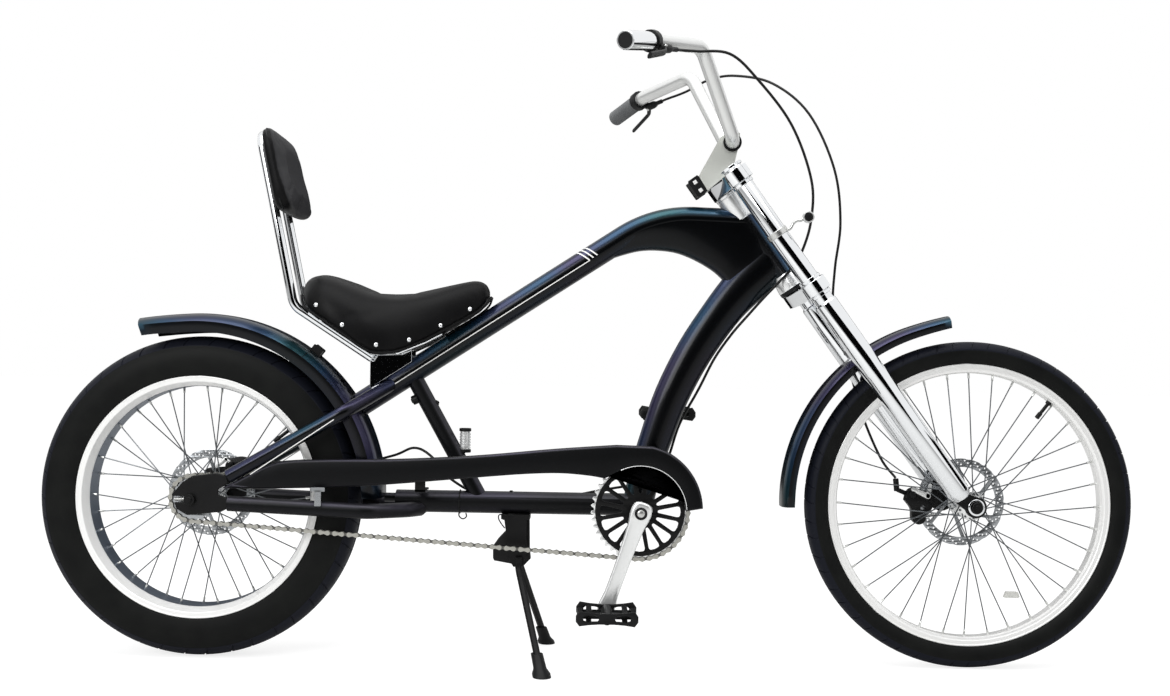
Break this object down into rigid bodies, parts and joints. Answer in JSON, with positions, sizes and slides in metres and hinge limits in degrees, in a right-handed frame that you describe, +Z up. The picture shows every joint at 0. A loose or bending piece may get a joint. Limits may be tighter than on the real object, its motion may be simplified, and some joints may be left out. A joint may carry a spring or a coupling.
{
  "type": "chopper bicycle",
  "caption": "Chopper bicycle with a long raked fork, fat rear tyre, swept frame, pull-back bars, backrest saddle and centre stand.",
  "frame": {"origin": "on the floor, midway along the overall length, in the bicycle's centre plane", "axes": "+X forward, +Y to the rider's left, +Z up"},
  "size_m": [1.9625, 0.6744, 1.0955],
  "materials": {
    "frame_paint": "satin black pearl enamel",
    "coated_steel": "semi-gloss black coating",
    "chrome": "bright plated",
    "polished_aluminium": "polished",
    "grey_steel": "oiled steel",
    "tyre_rubber": "moulded tread",
    "black_leather": "grained, satin",
    "black_plastic": "moulded",
    "moulded_rubber": "moulded"
  },
  "bodies": {
    "root": {"top_tube": "frame_paint", "head_tube": "frame_paint", "down_tube": "frame_paint", "lower_tube": "frame_paint", "seat_strut": "frame_paint", "bracket_shell": "frame_paint", "dropout_right": "coated_steel", "dropout_left": "coated_steel", "chain_stay_right": "frame_paint", "chain_stay_left": "frame_paint", "seat_stay_right": "frame_paint", "seat_stay_left": "frame_paint", "rear_axle": "grey_steel", "chain": "grey_steel", "chain_guard": "frame_paint", "rear_fender": "frame_paint", "saddle": "black_leather", "saddle_pan": "chrome", "backrest_frame": "chrome", "backrest_pad": "black_leather", "rear_caliper": "coated_steel", "canister": "polished_aluminium", "cable_rear_frame": "black_plastic", "stand_bracket": "coated_steel"},
    "steering": {"upper_crown": "chrome", "lower_crown": "chrome", "fork_leg_right": "chrome", "fork_leg_left": "chrome", "fork_dropout_right": "coated_steel", "fork_dropout_left": "coated_steel", "front_axle": "grey_steel", "handlebar": "chrome", "stem": "polished_aluminium", "grip_right": "chrome", "grip_left": "moulded_rubber", "brake_lever_right": "coated_steel", "brake_lever_left": "coated_steel", "front_caliper": "coated_steel", "front_fender": "frame_paint", "cable_rear_bar": "black_plastic", "cable_front": "black_plastic"},
    "rear_wheel": {"rear_tyre": "tyre_rubber", "rear_rim": "polished_aluminium", "rear_hub": "polished_aluminium", "rear_rotor": "grey_steel", "rear_sprocket": "grey_steel"},
    "front_wheel": {"front_tyre": "tyre_rubber", "front_rim": "polished_aluminium", "front_hub": "polished_aluminium", "front_rotor": "grey_steel"},
    "crank": {"chainring": "coated_steel", "crank_axle": "grey_steel", "crank_arm_right": "polished_aluminium", "crank_arm_left": "polished_aluminium"},
    "right_pedal": {"pedal_right": "black_plastic"},
    "left_pedal": {"pedal_left": "black_plastic"},
    "stand": {"stand_legs": "coated_steel", "stand_foot_right": "moulded_rubber", "stand_foot_left": "moulded_rubber"}
  },
  "joints": [
    {"name": "steering_turn", "type": "hinge", "parent": "root", "child": "steering", "pos_m": [0.2352, 0, 0.8616], "axis": [-0.5878, 0, 0.809], "range_deg": [-30, 30]},
    {"name": "rear_wheel_spin", "type": "hinge", "parent": "root", "child": "rear_wheel", "pos_m": [-0.69425, 0, 0.287], "axis": [0, 1, 0], "continuous": true},
    {"name": "front_wheel_spin", "type": "hinge", "parent": "steering", "child": "front_wheel", "pos_m": [0.68725, 0, 0.294], "axis": [0, 1, 0], "continuous": true},
    {"name": "crank_turn", "type": "hinge", "parent": "root", "child": "crank", "pos_m": [0.0935, 0, 0.278], "axis": [0, 1, 0], "continuous": true},
    {"name": "right_pedal_spin", "type": "hinge", "parent": "crank", "child": "right_pedal", "pos_m": [0.03595, -0.157, 0.11273], "axis": [0, 1, 0], "continuous": true},
    {"name": "left_pedal_spin", "type": "hinge", "parent": "crank", "child": "left_pedal", "pos_m": [0.15105, 0.157, 0.44327], "axis": [0, 1, 0], "continuous": true},
    {"name": "stand_fold", "type": "hinge", "parent": "root", "child": "stand", "pos_m": [-0.121, 0, 0.182], "axis": [0, 1, 0], "range_deg": [0, 95]}
  ]
}
